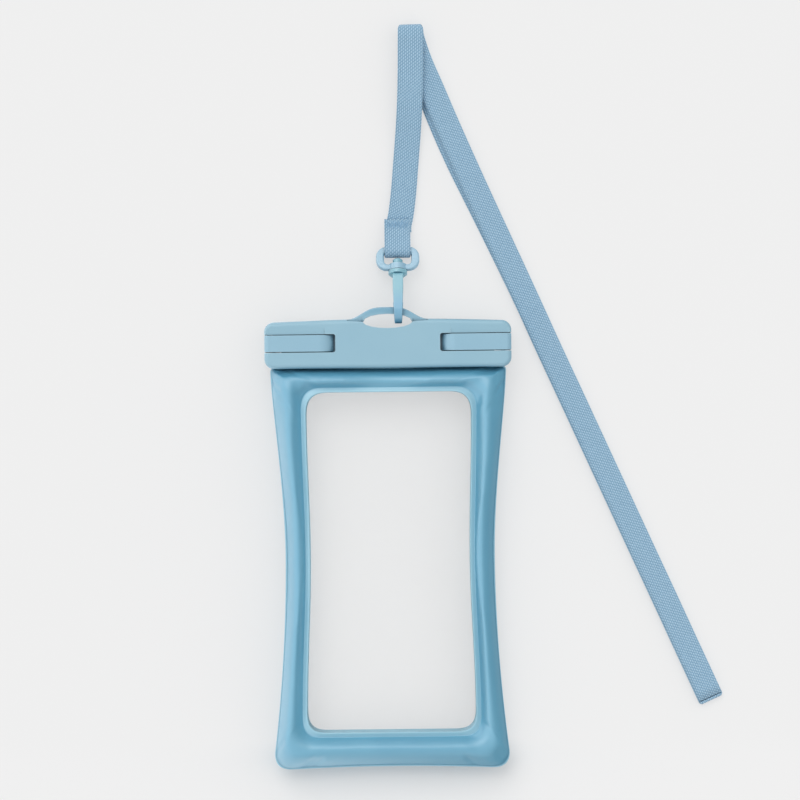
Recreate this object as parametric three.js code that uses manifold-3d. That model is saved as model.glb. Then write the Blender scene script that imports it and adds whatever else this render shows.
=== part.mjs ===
// A floating waterproof pouch with a two-jaw clamp, snap latches, a swivel hook and a neck strap.
// It lies on its back: +Z faces up out of the front window, +Y points at the clamp, sizes in mm.
import * as THREE from "three";
import { mergeVertices } from "three/addons/utils/BufferGeometryUtils.js";
import Module from "manifold-3d";

const wasm = await Module();
wasm.setup();

// Clearances
const gap = 0.3; // between pieces that touch
const runningGap = 0.4; // round a latch's eye in its slot

// Pouch outline, half widths across X and places along Y
const shoulderHalf = 50.8;
const waistInset = 5.7; // how far the waist stands inside the shoulders
const footInset = 0.2; // the same for the foot
const waistY = -8;
const bodyBottom = -99.3;
const bottomHollow = 1; // how far the bottom edge bows in
const shoulderRound = 1.5;
const footRound = 6.6;
const shoulderLean = 2.2; // how the side curve leans in below the shoulder
const shoulderPull = 16; // and how far down it does
const waistPullUp = 30;
const waistPullDown = 34;
const footLean = 2.7;
const footPull = 21;

// Window outline, inside the outline by the width of the inflated tube and its lip
const shoulderBand = 15.3;
const waistBand = 10.8;
const footBand = 14.4;
const mouthBand = 10.05;
const bottomBand = 16.3;
const windowRoundTop = 8.6;
const windowRoundBottom = 7.6;
const windowPull = 24;

// Air frame section, heights above the pouch's middle plane
const filmThickness = 0.45;
const weldFlange = 0.8;
const lipWidth = 2.1;
const lipThickness = 0.6;
const pocketDepth = 8.4;
const windowThickness = 0.5;
const sideCrest = 8.2;
const footCrest = 10;
const mouthFall = 1.2; // how much lower the crest is along the clamp
const crestShare = 0.44; // where the crest stands across the tube
const mouthCrestShare = 0.62; // and along the clamp

// Clamp
const clampHalfLength = 53;
const clampHalfHeight = 10;
const clampCrown = 1.05; // of the upper edge, the lower one is straight
const clampRound = 4.2;
const clampCentreY = 83.15;
const clampThickness = 14;
const clampEdge = 1.8; // rounding of the outer edges
const channelStep = 5; // how far the jaws' cutting block starts below the pouch's top
const flapHalfWidth = 44.2;
const flapTop = 88.8;
const sealWidth = 3;
const sealHeight = 1.7;
const sealHalfLength = 43;
const sealY = 77.4;
const pegX = 30;
const pegY = 91.5;
const pegRadius = 0.9;
const pegHeight = 2.1;

// Latches
const bandHalf = 3.9; // half height of a latch's recess
const bandLift = 0.8; // how far the latches sit above the clamp's middle
const latchStart = 23.4;
const recessStart = 22.45;
const recessDepth = 3.8;
const recessCorner = 1;
const reliefStart = 27; // the jaw dips towards the latch from here outward
const reliefDepth = 0.6;
const reliefWidth = 3.4;
const noseRoll = 6.2;
const noseHeight = 1.1;
const noseLead = 2.4; // how far the nose's curve runs flat before it drops
const latchEndRound = 2;
const latchEdge = 0.3;
const eyeRadius = 3.4;
const pinRadius = 0.9;
const pinLength = 15;

// Lanyard loop on the front jaw
const loopHalf = 17.4;
const loopTopHalf = 3.8;
const loopTop = 99.2;
const loopCrown = 0.1;
const loopRootLift = 0.9; // the arch leaves the jaw this far above its ends
const loopRootPull = 4.8;
const loopTopPull = 5.7;
const loopThickness = 3.6;
const loopEdge = 0.7;
const holeHalf = 10.75;
const holeMiddle = 92.85;
const holeRise = 3.6;
const holeDrop = 2.65;
const holeUpperPull = 0.2;
const holeLowerPull = 2;

// Swivel hook and ring, in the hook's own frame: +Y runs from the hook to the ring
const hookX = 4.65;
const hookY = 115.2;
const hookTilt = 18; // degrees
const hookLength = 23.9;
const hookHalf = 5.5; // half height across the hook's bow
const hookBar = 2.1;
const hookWidth = 4.5;
const hookTipWidth = 3.1;
const taperStart = 0.5; // share of its length at which the hook starts to narrow
const hookEdge = 0.3;
const collarRadius = 4.05;
const collarHeight = 2.8;
const collarNeck = 2.5; // radius that its cone runs down to
const collarCone = 1.3;
const studRadius = 1.6;
const studHeadRadius = 2.15;
const studHeadHeight = 2;
const gateWidth = 2;
const gateReach = 15;
const gateThickness = 1.3;
const noseEnd = 13.2;
const gateHinge = 5.2;
const gateEye = 1.2;
const gateDrop = 0.3; // the gate's hinge lies this far under the throat line
const gateRoof = 0.9; // free height over the gate's eye, for its swing
const gateBelly = 3.5; // where the gate's underside pulls in, from the nose
const blockStep = 1.4; // height of the base block's step behind the gate
const blockFillet = 3.4;
const baseRound = 2;
const noseTip = 0.7;
const trunnionRadius = 0.6;
const ringHalfWidth = 9.35;
const ringLength = 10.7;
const ringBar = 2.6;
const ringOpeningHalf = 5.9;
const ringThickness = 3;
const ringEdge = 0.8;
const ringCorner = 4.6;
const ringInnerCorner = 1.6;

// Strap
const plyThickness = 1.2;
const strapWidth = 11;
const groundGap = 0.1;
const tabEndY = 131.1;
const tabEndSlant = 0.5; // its end face leans back to the ground by this much
const strandStart = 131.9;
const legSlack = 1; // extra space between the inner turn and its own leg
const turnSteps = 6;

// Sizes that follow from the ones above
const waistHalf = shoulderHalf - waistInset;
const footHalf = shoulderHalf - footInset;
const bodyTop = clampCentreY - clampHalfHeight - gap;
const windowTop = bodyTop - mouthBand;
const windowBottom = bodyBottom + bottomBand;
const windowHalfTop = shoulderHalf - shoulderBand;
const windowHalfWaist = waistHalf - waistBand;
const windowHalfBottom = footHalf - footBand;
const middle = footCrest; // the pouch's middle plane stands this high
const flapTopSide = gap / 2 + filmThickness; // the flap's outer face
const lipBottom = pocketDepth / 2 + windowThickness + gap;
const lipTop = lipBottom + lipThickness;
const clampFace = middle + clampThickness / 2;
const clampBack = middle - clampThickness / 2;
const channelRoof = flapTopSide + gap;
const recessFloor = clampFace - recessDepth;
const bandY = clampCentreY + bandLift;
const pinX = clampHalfLength - eyeRadius;
const pinZ = clampBack + eyeRadius;
const slotStart = pinX - eyeRadius - runningGap;
const plyPitch = plyThickness + gap;
const lowerPly = groundGap + plyThickness / 2;
const tilt = THREE.MathUtils.degToRad(hookTilt);
const barPlace = ringLength - ringBar / 2;
const tabInner = ringThickness / 2 + 0.6;
const barHeight = groundGap + tabInner + plyThickness;
const hookZ = barHeight + barPlace * Math.sin(tilt);
const barY = hookY + barPlace * Math.cos(tilt);

// Materials
const paint = (color, roughness, more = {}) =>
  new THREE.MeshStandardMaterial({ color, roughness, metalness: 0, ...more });
const airFilm = paint("#86b4cd", 0.45);
const clearFilm = paint("#dfe9ea", 0.12, { transparent: true, opacity: 0.35 });
const jawPlastic = paint("#9ac0d2", 0.55);
const latchPlastic = paint("#97bed1", 0.5);
const sealRubber = paint("#d9dee0", 0.7);
const pinSteel = new THREE.MeshStandardMaterial({ color: "#b9bec2", roughness: 0.3, metalness: 1 });
const hookPlastic = paint("#8dbfd2", 0.4);
const webbing = paint("#8fb5d2", 0.9);

// A geometry's solid, with its shared corners merged
function solid(geometry) {
  const bare = geometry.clone();
  bare.deleteAttribute("normal");
  bare.deleteAttribute("uv");
  const merged = mergeVertices(bare, 1e-4);
  return new wasm.Manifold(
    new wasm.Mesh({
      numProp: 3,
      vertProperties: new Float32Array(merged.attributes.position.array),
      triVerts: new Uint32Array(merged.index.array),
    }),
  );
}

// A geometry back from a solid
function geometryOf(body) {
  const { vertProperties, triVerts } = body.getMesh();
  const geometry = new THREE.BufferGeometry();
  geometry.setAttribute("position", new THREE.BufferAttribute(new Float32Array(vertProperties), 3));
  geometry.setIndex(Array.from(triVerts));
  return geometry;
}

const pouch = new THREE.Group();

// Adds one named piece to a group
function addPiece(name, geometry, material, group = pouch) {
  const flat = geometry.index ? geometry.toNonIndexed() : geometry;
  flat.computeVertexNormals();
  const mesh = new THREE.Mesh(flat, material);
  mesh.name = name;
  group.add(mesh);
  return mesh;
}

// A block between two corners
function block(low, high) {
  const box = new THREE.BoxGeometry(high[0] - low[0], high[1] - low[1], high[2] - low[2]);
  box.translate((low[0] + high[0]) / 2, (low[1] + high[1]) / 2, (low[2] + high[2]) / 2);
  return solid(box);
}

// A flat shape from height low to height high, its edges rounded by round at both faces
function slab(shape, low, high, round = 0, steps = 3, curveSegments = 8) {
  const geometry = new THREE.ExtrudeGeometry(shape, {
    depth: high - low - 2 * round,
    bevelEnabled: round > 0,
    bevelThickness: round,
    bevelSize: round,
    bevelOffset: -round,
    bevelSegments: steps,
    curveSegments,
  });
  return geometry.translate(0, 0, low + round);
}

// A rod along Y from one end to the other
function rodY(x, z, radius, from, to, sides = 16) {
  const rod = new THREE.CylinderGeometry(radius, radius, to - from, sides);
  return rod.translate(x, (from + to) / 2, z);
}

// Points along a closed path, count[i] of them on its curve i
function walk(path, counts) {
  return path.curves.flatMap((curve, i) =>
    Array.from({ length: counts[i] }, (_, j) => curve.getPoint(j / counts[i])),
  );
}

// The pouch's outer weld line, counter-clockwise from the right waist
function outerPath() {
  const path = new THREE.Path();
  const side = shoulderHalf;
  const foot = footHalf;
  const low = bodyBottom;
  const footY = low + footRound;
  const topY = bodyTop - shoulderRound;
  path.moveTo(waistHalf, waistY);
  path.bezierCurveTo(
    ...[waistHalf, waistY + waistPullUp],
    ...[side - shoulderLean, topY - shoulderPull],
    ...[side, topY],
  );
  path.quadraticCurveTo(side, bodyTop, side - shoulderRound, bodyTop);
  path.lineTo(shoulderRound - side, bodyTop);
  path.quadraticCurveTo(-side, bodyTop, -side, topY);
  path.bezierCurveTo(
    ...[shoulderLean - side, topY - shoulderPull],
    ...[-waistHalf, waistY + waistPullUp],
    ...[-waistHalf, waistY],
  );
  path.bezierCurveTo(
    ...[-waistHalf, waistY - waistPullDown],
    ...[footLean - foot, footY + footPull],
    ...[-foot, footY],
  );
  path.quadraticCurveTo(-foot, low, footRound - foot, low);
  path.quadraticCurveTo(0, low + 2 * bottomHollow, foot - footRound, low);
  path.quadraticCurveTo(foot, low, foot, footY);
  path.bezierCurveTo(
    ...[foot - footLean, footY + footPull],
    ...[waistHalf, waistY - waistPullDown],
    ...[waistHalf, waistY],
  );
  return path;
}

// The window's edge, curve for curve beside the outer path
function windowPath(grow = 0) {
  const path = new THREE.Path();
  const waist = windowHalfWaist + grow;
  const top = windowHalfTop + grow;
  const bottom = windowHalfBottom + grow;
  const high = windowTop + grow;
  const low = windowBottom - grow;
  const topR = windowRoundTop;
  const lowR = windowRoundBottom;
  const pull = windowPull;
  path.moveTo(waist, waistY);
  path.bezierCurveTo(waist, waistY + pull, top, high - topR - pull, top, high - topR);
  path.quadraticCurveTo(top, high, top - topR, high);
  path.lineTo(topR - top, high);
  path.quadraticCurveTo(-top, high, -top, high - topR);
  path.bezierCurveTo(-top, high - topR - pull, -waist, waistY + pull, -waist, waistY);
  path.bezierCurveTo(-waist, waistY - pull, -bottom, low + lowR + pull, -bottom, low + lowR);
  path.quadraticCurveTo(-bottom, low, lowR - bottom, low);
  path.lineTo(bottom - lowR, low);
  path.quadraticCurveTo(bottom, low, bottom, low + lowR);
  path.bezierCurveTo(bottom, low + lowR + pull, waist, waistY - pull, waist, waistY);
  return path;
}

const pathCounts = [9, 6, 6, 6, 9, 9, 6, 8, 6, 9];
const mouthCurve = 2; // the path's curve along the mouth

// How far a point along the path belongs to the mouth, 0 on the sides and 1 along the clamp
const mouthShare = pathCounts.flatMap((count, i) =>
  Array.from({ length: count }, (_, j) => {
    if (i === mouthCurve) return 1;
    if (i === mouthCurve - 1) return THREE.MathUtils.smoothstep(j / count, 0, 1);
    if (i === mouthCurve + 1) return 1 - THREE.MathUtils.smoothstep(j / count, 0, 1);
    return 0;
  }),
);

// One air frame's section from the outer weld line over the tube and the lip to the window's edge
function airSection(edge, foot, window, mouth) {
  const inward = foot.clone().sub(edge);
  const width = inward.length();
  inward.normalize();
  const tube = width - weldFlange;
  const sideTube = waistBand - weldFlange - lipWidth;
  const wideTube = bottomBand - bottomHollow - weldFlange - lipWidth;
  const share = THREE.MathUtils.clamp((tube - sideTube) / (wideTube - sideTube), 0, 1);
  const crest = THREE.MathUtils.lerp(sideCrest, footCrest, share) - mouth * mouthFall;
  const wallBottom = THREE.MathUtils.lerp(width, weldFlange + gap, mouth);
  const rise = (t) => flapTopSide + (crest - flapTopSide) * Math.sin((t * Math.PI) / 2) ** 0.8;
  const summit = THREE.MathUtils.lerp(crestShare, mouthCrestShare, mouth);
  const outer = [0.06, 0.2, 0.42, 0.7, 1].map((t) => [weldFlange + tube * summit * t, rise(t)]);
  const inner = [0.35, 0.62, 0.84, 0.96].map((t) => [
    weldFlange + tube * (summit + (1 - summit) * t),
    lipTop + (crest - lipTop) * Math.sqrt(1 - t * t),
  ]);
  const over = [[0, gap / 2], [0, flapTopSide], [weldFlange, flapTopSide], ...outer, ...inner];
  const place = ([u, z]) => new THREE.Vector3(edge.x + inward.x * u, edge.y + inward.y * u, z);
  return [
    ...over.map(place),
    place([width, lipTop]),
    new THREE.Vector3(window.x, window.y, lipTop),
    new THREE.Vector3(window.x, window.y, lipBottom),
    place([width, lipBottom]),
    place([wallBottom, gap / 2]),
  ];
}

// A closed ring of sections, lofted station by station
function loftRing(sections) {
  const across = sections[0].length;
  const around = sections.length;
  const index = [];
  for (let i = 0; i < around; i++) {
    for (let j = 0; j < across; j++) {
      const a = i * across + j;
      const b = i * across + ((j + 1) % across);
      const c = ((i + 1) % around) * across + j;
      const d = ((i + 1) % around) * across + ((j + 1) % across);
      index.push(a, c, b, b, c, d);
    }
  }
  const geometry = new THREE.BufferGeometry();
  geometry.setFromPoints(sections.flat());
  geometry.setIndex(index);
  return geometry;
}

// The inflated frame with its flap up into the clamp, above the middle plane
function airFrame() {
  const edges = walk(outerPath(), pathCounts);
  const feet = walk(windowPath(lipWidth), pathCounts);
  const windows = walk(windowPath(), pathCounts);
  const sections = edges.map((edge, i) => airSection(edge, feet[i], windows[i], mouthShare[i]));
  const flap = new THREE.Shape();
  flap.moveTo(-shoulderHalf + shoulderRound, bodyTop - weldFlange);
  flap.lineTo(shoulderHalf - shoulderRound, bodyTop - weldFlange);
  flap.lineTo(flapHalfWidth, bodyTop);
  flap.lineTo(flapHalfWidth, flapTop);
  flap.lineTo(-flapHalfWidth, flapTop);
  flap.lineTo(-flapHalfWidth, bodyTop);
  return solid(loftRing(sections)).add(solid(slab(flap, gap / 2, flapTopSide)));
}

// A solid made above the middle plane, lifted to the front half or turned over to the back half
function toFront(body) {
  return body.translate([0, 0, middle]);
}
function toBack(body) {
  return body.mirror([0, 0, 1]).translate([0, 0, middle]);
}

const frameSolid = airFrame();
addPiece("air_frame_front", geometryOf(toFront(frameSolid)), airFilm);
addPiece("air_frame_back", geometryOf(toBack(frameSolid)), airFilm);

// Clear windows, each held under its frame's lip
const windowShape = new THREE.Shape(walk(windowPath(lipWidth - gap), pathCounts));
const windowSolid = solid(slab(windowShape, pocketDepth / 2, pocketDepth / 2 + windowThickness));
addPiece("window_front", geometryOf(toFront(windowSolid)), clearFilm);
addPiece("window_back", geometryOf(toBack(windowSolid)), clearFilm);

// The clamp's outline, its upper edge crowned
function clampOutline() {
  const shape = new THREE.Shape();
  const x = clampHalfLength - clampRound;
  const low = clampCentreY - clampHalfHeight;
  const high = clampCentreY + clampHalfHeight;
  const quarter = Math.PI / 2;
  shape.moveTo(-x, low);
  shape.absarc(x, low + clampRound, clampRound, -quarter, 0);
  shape.absarc(x, high - clampRound, clampRound, 0, quarter);
  shape.quadraticCurveTo(0, high + 2 * clampCrown, -x, high);
  shape.absarc(-x, high - clampRound, clampRound, quarter, 2 * quarter);
  shape.absarc(-x, low + clampRound, clampRound, 2 * quarter, 3 * quarter);
  return shape;
}

// The lens-shaped lanyard hole
function holeOutline() {
  const shape = new THREE.Shape();
  const up = holeMiddle + (holeRise * 4) / 3;
  const down = holeMiddle - (holeDrop * 4) / 3;
  shape.moveTo(holeHalf, holeMiddle);
  const upper = holeHalf - holeUpperPull;
  const lower = holeHalf - holeLowerPull;
  shape.bezierCurveTo(upper, up, -upper, up, -holeHalf, holeMiddle);
  shape.bezierCurveTo(-lower, down, lower, down, holeHalf, holeMiddle);
  return shape;
}

// The arch that the hook clips round
function loopOutline() {
  const shape = new THREE.Shape();
  const root = clampCentreY + clampHalfHeight;
  const rootIn = loopHalf - loopRootPull;
  const topOut = loopTopHalf + loopTopPull;
  shape.moveTo(-loopHalf, root - clampEdge);
  shape.lineTo(loopHalf, root - clampEdge);
  shape.lineTo(loopHalf, root + loopRootLift);
  shape.bezierCurveTo(rootIn, root + clampCrown, topOut, loopTop, loopTopHalf, loopTop);
  shape.quadraticCurveTo(0, loopTop + 2 * loopCrown, -loopTopHalf, loopTop);
  shape.bezierCurveTo(-topOut, loopTop, -rootIn, root + clampCrown, -loopHalf, root + loopRootLift);
  return shape;
}

// What both jaws share, above the middle plane: body, film channel, seal groove, latch slots, hole
function jawBody() {
  const shell = solid(slab(clampOutline(), -clampThickness, clampThickness / 2, clampEdge, 3));
  const reach = clampHalfLength + 1;
  const deep = clampThickness;
  const above = block([-reach, bodyTop - channelStep, gap / 2], [reach, loopTop, deep]);
  const channel = block(
    [-flapHalfWidth - gap, clampCentreY - 2 * clampHalfHeight, 0],
    [flapHalfWidth + gap, flapTop + gap, channelRoof],
  );
  const groove = block(
    [-sealHalfLength - gap, sealY - sealWidth / 2 - gap, 0],
    [sealHalfLength + gap, sealY + sealWidth / 2 + gap, channelRoof + sealHeight + gap],
  );
  const hole = solid(slab(holeOutline(), -deep, deep));
  let body = shell.intersect(above).subtract(channel).subtract(groove).subtract(hole);
  for (const side of [-1, 1]) {
    const ends = [side * slotStart, side * reach].sort((a, b) => a - b);
    const low = [ends[0], bandY - bandHalf, -1];
    body = body.subtract(block(low, [ends[1], bandY + bandHalf, deep]));
  }
  return body;
}

// The sliver beside the arch's right root where the jaw's face drops to the arch's
function rootStep() {
  const shape = new THREE.Shape();
  const high = clampCentreY + clampHalfHeight + clampCrown + gap;
  shape.moveTo(holeHalf - holeUpperPull, holeMiddle);
  shape.lineTo(loopHalf, high - clampCrown);
  shape.lineTo(loopHalf, high);
  shape.lineTo(holeHalf - holeUpperPull, high);
  return shape;
}

// A latch's recess on the right end, open at the jaw's end
function recessOutline() {
  const shape = new THREE.Shape();
  const high = bandY + bandHalf;
  const low = bandY - bandHalf;
  const x = recessStart + recessCorner;
  shape.absarc(x, high - recessCorner, recessCorner, Math.PI / 2, Math.PI);
  shape.absarc(x, low + recessCorner, recessCorner, Math.PI, 1.5 * Math.PI);
  shape.lineTo(clampHalfLength + 1, low);
  shape.lineTo(clampHalfLength + 1, high);
  return shape;
}

// The dip beside a latch on the right end, drawn in side view along Y
function latchRelief() {
  const shape = new THREE.Shape();
  const face = clampFace - middle;
  const edge = bandY + bandHalf;
  shape.moveTo(bandY, face - reliefDepth);
  shape.lineTo(edge, face - reliefDepth);
  shape.lineTo(edge + reliefWidth, face);
  shape.lineTo(edge + reliefWidth, face + 1);
  shape.lineTo(bandY, face + 1);
  const geometry = slab(shape, reliefStart, clampHalfLength + 1);
  return solid(geometry.rotateX(Math.PI / 2).rotateZ(Math.PI / 2));
}

function frontJaw() {
  const loop = solid(slab(loopOutline(), gap / 2, gap / 2 + loopThickness, loopEdge, 2));
  const hole = solid(slab(holeOutline(), -1, clampThickness));
  const loopBase = block(
    [-loopHalf, clampCentreY, gap / 2],
    [loopHalf, loopTop + 1, gap / 2 + loopThickness],
  );
  const arch = loop.intersect(loopBase);
  const step = solid(slab(rootStep(), gap / 2 + loopThickness, clampThickness));
  let body = jawBody().subtract(step).subtract(step.mirror([1, 0, 0])).add(arch).subtract(hole);
  for (const side of [-1, 1]) {
    const recess = solid(slab(recessOutline(), recessFloor - middle, clampThickness));
    const dip = recess.add(latchRelief());
    body = body.subtract(side > 0 ? dip : dip.mirror([1, 0, 0]));
    const socket = new THREE.CylinderGeometry(
      pegRadius + gap,
      pegRadius + gap,
      2 * (pegHeight + gap),
      16,
    );
    socket.rotateX(Math.PI / 2).translate(side * pegX, pegY, 0);
    body = body.subtract(solid(socket));
  }
  return body;
}

function backJaw() {
  let body = jawBody().mirror([0, 0, 1]);
  for (const side of [-1, 1]) {
    const peg = new THREE.CylinderGeometry(pegRadius, pegRadius, 2 * pegHeight, 16);
    peg.rotateX(Math.PI / 2).translate(side * pegX, pegY, 0);
    body = body.add(solid(peg));
    const reach = clampHalfHeight + 2;
    const bore = rodY(side * pinX, pinZ - middle, pinRadius + gap, bandY - reach, bandY + reach);
    body = body.subtract(solid(bore));
  }
  return body;
}

addPiece("jaw_front", geometryOf(toFront(frontJaw())), jawPlastic);
addPiece("jaw_back", geometryOf(backJaw().translate([0, 0, middle])), jawPlastic);

// Soft seal strips that press on the flaps
function sealStrip() {
  const shape = new THREE.Shape();
  const half = sealWidth / 2;
  const x = sealHalfLength - half;
  shape.moveTo(-x, sealY - half);
  shape.lineTo(x, sealY - half);
  shape.absarc(x, sealY, half, -Math.PI / 2, Math.PI / 2);
  shape.lineTo(-x, sealY + half);
  shape.absarc(-x, sealY, half, Math.PI / 2, 1.5 * Math.PI);
  return solid(slab(shape, channelRoof, channelRoof + sealHeight));
}
addPiece("seal_front", geometryOf(toFront(sealStrip())), sealRubber);
addPiece("seal_back", geometryOf(toBack(sealStrip())), sealRubber);

// A latch's side view on the right end: nose, arm, foot and eye
function latchShape() {
  const shape = new THREE.Shape();
  const armBottom = recessFloor + gap;
  const inner = pinX - eyeRadius;
  const endRound = latchEndRound;
  shape.moveTo(latchStart, armBottom);
  shape.lineTo(inner, armBottom);
  shape.lineTo(inner, pinZ);
  shape.absarc(pinX, pinZ, eyeRadius, Math.PI, 2 * Math.PI);
  shape.lineTo(clampHalfLength, clampFace - endRound);
  shape.absarc(clampHalfLength - endRound, clampFace - endRound, endRound, 0, Math.PI / 2);
  shape.lineTo(latchStart + noseRoll, clampFace);
  shape.quadraticCurveTo(latchStart + noseLead, clampFace, latchStart, armBottom + noseHeight);
  return shape;
}

// A latch and its pin, for the right end (side 1) or the left end (side -1)
function latch(side) {
  const halfWidth = bandHalf - gap;
  const geometry = slab(latchShape(), -halfWidth, halfWidth, latchEdge, 2);
  geometry.rotateX(Math.PI / 2).translate(0, bandY, 0);
  const bore = rodY(pinX, pinZ, pinRadius + gap, bandY - bandHalf, bandY + bandHalf);
  const body = solid(geometry).subtract(solid(bore));
  const name = side > 0 ? "right" : "left";
  const turned = side > 0 ? body : body.mirror([1, 0, 0]);
  addPiece(`latch_${name}`, geometryOf(turned), latchPlastic);
  const half = pinLength / 2;
  const pin = rodY(side * pinX, pinZ, pinRadius, bandY - half, bandY + half);
  addPiece(`latch_pin_${name}`, pin, pinSteel);
}
latch(1);
latch(-1);

// The hook's own frame, tipped down from the loop to the ring
const hookFrame = new THREE.Group();
hookFrame.position.set(hookX, hookY, hookZ);
hookFrame.rotation.x = -tilt;
pouch.add(hookFrame);

// A side view drawn as (along -Y, up), made into a plate across X with its width
function hookPlate(shape, width, round) {
  const geometry = slab(shape, -width / 2, width / 2, round, 2, 8);
  return geometry.rotateX(Math.PI / 2).rotateZ(-Math.PI / 2);
}

const throat = hookHalf - hookBar; // half height inside the bow
const gateEyeZ = -throat - gateDrop;

// The J-shaped bow with its base block
function bowShape() {
  const shape = new THREE.Shape();
  const centre = hookLength - hookHalf;
  const base = collarHeight - gap / 2;
  const blockEnd = gateHinge + gateEye + gap;
  const quarter = Math.PI / 2;
  shape.moveTo(base, -hookHalf + 3 * gap);
  shape.lineTo(blockEnd, -hookHalf + gap);
  shape.lineTo(blockEnd, -throat + blockStep);
  shape.quadraticCurveTo(blockEnd + gap, throat, blockEnd + blockFillet, throat);
  shape.lineTo(centre, throat);
  shape.absarc(centre, 0, throat, quarter, -quarter, true);
  shape.lineTo(noseEnd, -throat);
  shape.quadraticCurveTo(noseEnd - noseTip, -throat - hookBar / 2, noseEnd + noseTip, -hookHalf);
  shape.lineTo(centre, -hookHalf);
  shape.absarc(centre, 0, hookHalf, -quarter, quarter);
  shape.lineTo(base + baseRound, hookHalf);
  shape.quadraticCurveTo(base, hookHalf, base, hookHalf - baseRound);
  return shape;
}

// The lever that closes the throat, its eye in the base block and its tip behind the nose
function gateShape() {
  const shape = new THREE.Shape();
  const tipLow = gap - throat;
  const tip = noseEnd - gap;
  shape.absarc(gateHinge, gateEyeZ, gateEye, Math.PI / 2, 1.6 * Math.PI);
  shape.quadraticCurveTo(noseEnd - gateBelly, -hookHalf + noseTip, tip - gap, tipLow - 2 * gap);
  shape.lineTo(tip, tipLow);
  shape.lineTo(gateReach, tipLow);
  shape.lineTo(gateReach, tipLow + gateThickness - gap);
  shape.lineTo(noseEnd - gateThickness, tipLow + gateThickness);
  shape.quadraticCurveTo(gateHinge + gateBelly, gateEyeZ + gateEye, gateHinge, gateEyeZ + gateEye);
  return shape;
}

function hookBody() {
  const top = ringBar + 2 * gap;
  const profile = [
    [0, -collarHeight - gap],
    [collarNeck, -collarHeight - gap],
    [collarRadius, collarCone - collarHeight - gap],
    [collarRadius, -gap],
    [studRadius, -gap],
    [studRadius, top],
    [studHeadRadius, top],
    [studHeadRadius, top + studHeadHeight - 0.6],
    [studHeadRadius - 0.6, top + studHeadHeight],
    [0, top + studHeadHeight],
  ].map(([r, y]) => new THREE.Vector2(r, y));
  const stud = solid(new THREE.LatheGeometry(profile, 20));
  const plate = hookPlate(bowShape(), hookWidth, hookEdge);
  const places = plate.attributes.position;
  for (let i = 0; i < places.count; i++) {
    const along = -places.getY(i) / hookLength;
    const share = THREE.MathUtils.clamp((along - taperStart) / (1 - taperStart), 0, 1);
    places.setX(i, places.getX(i) * THREE.MathUtils.lerp(1, hookTipWidth / hookWidth, share));
  }
  const slotHalf = gateWidth / 2 + gap;
  const slot = block(
    [-slotHalf, -(gateHinge + gateEye + blockFillet), -hookHalf - 1],
    [slotHalf, -(gateHinge - gateEye - gap), gateEyeZ + gateEye + gateRoof],
  );
  const bore = new THREE.CylinderGeometry(trunnionRadius + gap, trunnionRadius + gap, hookWidth + 1, 12);
  bore.rotateZ(Math.PI / 2).translate(0, -gateHinge, gateEyeZ);
  return solid(plate).subtract(slot).subtract(solid(bore)).add(stud);
}
addPiece("hook_body", geometryOf(hookBody()), hookPlastic, hookFrame);

function hookGate() {
  const lever = solid(hookPlate(gateShape(), gateWidth, hookEdge / 2));
  const trunnion = new THREE.CylinderGeometry(trunnionRadius, trunnionRadius, hookWidth - 0.8, 12);
  trunnion.rotateZ(Math.PI / 2).translate(0, -gateHinge, gateEyeZ);
  return lever.add(solid(trunnion));
}
addPiece("hook_gate", geometryOf(hookGate()), hookPlastic, hookFrame);

// The swivel ring, turned freely on the hook's stud
function roundedBox(halfX, low, high, radius) {
  const shape = new THREE.Shape();
  const quarter = Math.PI / 2;
  shape.absarc(halfX - radius, low + radius, radius, -quarter, 0);
  shape.absarc(halfX - radius, high - radius, radius, 0, quarter);
  shape.absarc(radius - halfX, high - radius, radius, quarter, 2 * quarter);
  shape.absarc(radius - halfX, low + radius, radius, 2 * quarter, 3 * quarter);
  return shape;
}
function swivelRing() {
  const shape = roundedBox(ringHalfWidth, 0, ringLength, ringCorner);
  shape.holes.push(roundedBox(ringOpeningHalf, ringBar, ringLength - ringBar, ringInnerCorner));
  const half = ringThickness / 2;
  const band = solid(slab(shape, -half, half, ringEdge, 2, 5));
  const bossRadius = collarRadius - gap;
  const boss = new THREE.CylinderGeometry(bossRadius, bossRadius, ringBar, 20);
  boss.translate(0, ringBar / 2, 0);
  const bore = new THREE.CylinderGeometry(studRadius + gap, studRadius + gap, 4 * ringBar, 16);
  return band.add(solid(boss)).subtract(solid(bore));
}
addPiece("swivel_ring", geometryOf(swivelRing()), hookPlastic, hookFrame);

// The strap's sewn end round the ring's far bar, drawn in side view along Y
function strapTab() {
  const outer = tabInner + plyThickness;
  const high = groundGap + plyPitch + plyThickness;
  const shape = new THREE.Shape();
  shape.absarc(barY, barHeight, outer, 0.38 * Math.PI, 1.5 * Math.PI);
  shape.lineTo(tabEndY - tabEndSlant, groundGap);
  shape.lineTo(tabEndY, high);
  const hole = new THREE.Path();
  hole.absarc(barY, barHeight, tabInner, 0, 2 * Math.PI);
  shape.holes.push(hole);
  const half = ringOpeningHalf - gap;
  const geometry = slab(shape, -half, half);
  return geometry.rotateX(Math.PI / 2).rotateZ(Math.PI / 2).translate(hookX, 0, 0);
}
addPiece("strap_loop", strapTab(), webbing);

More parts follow.
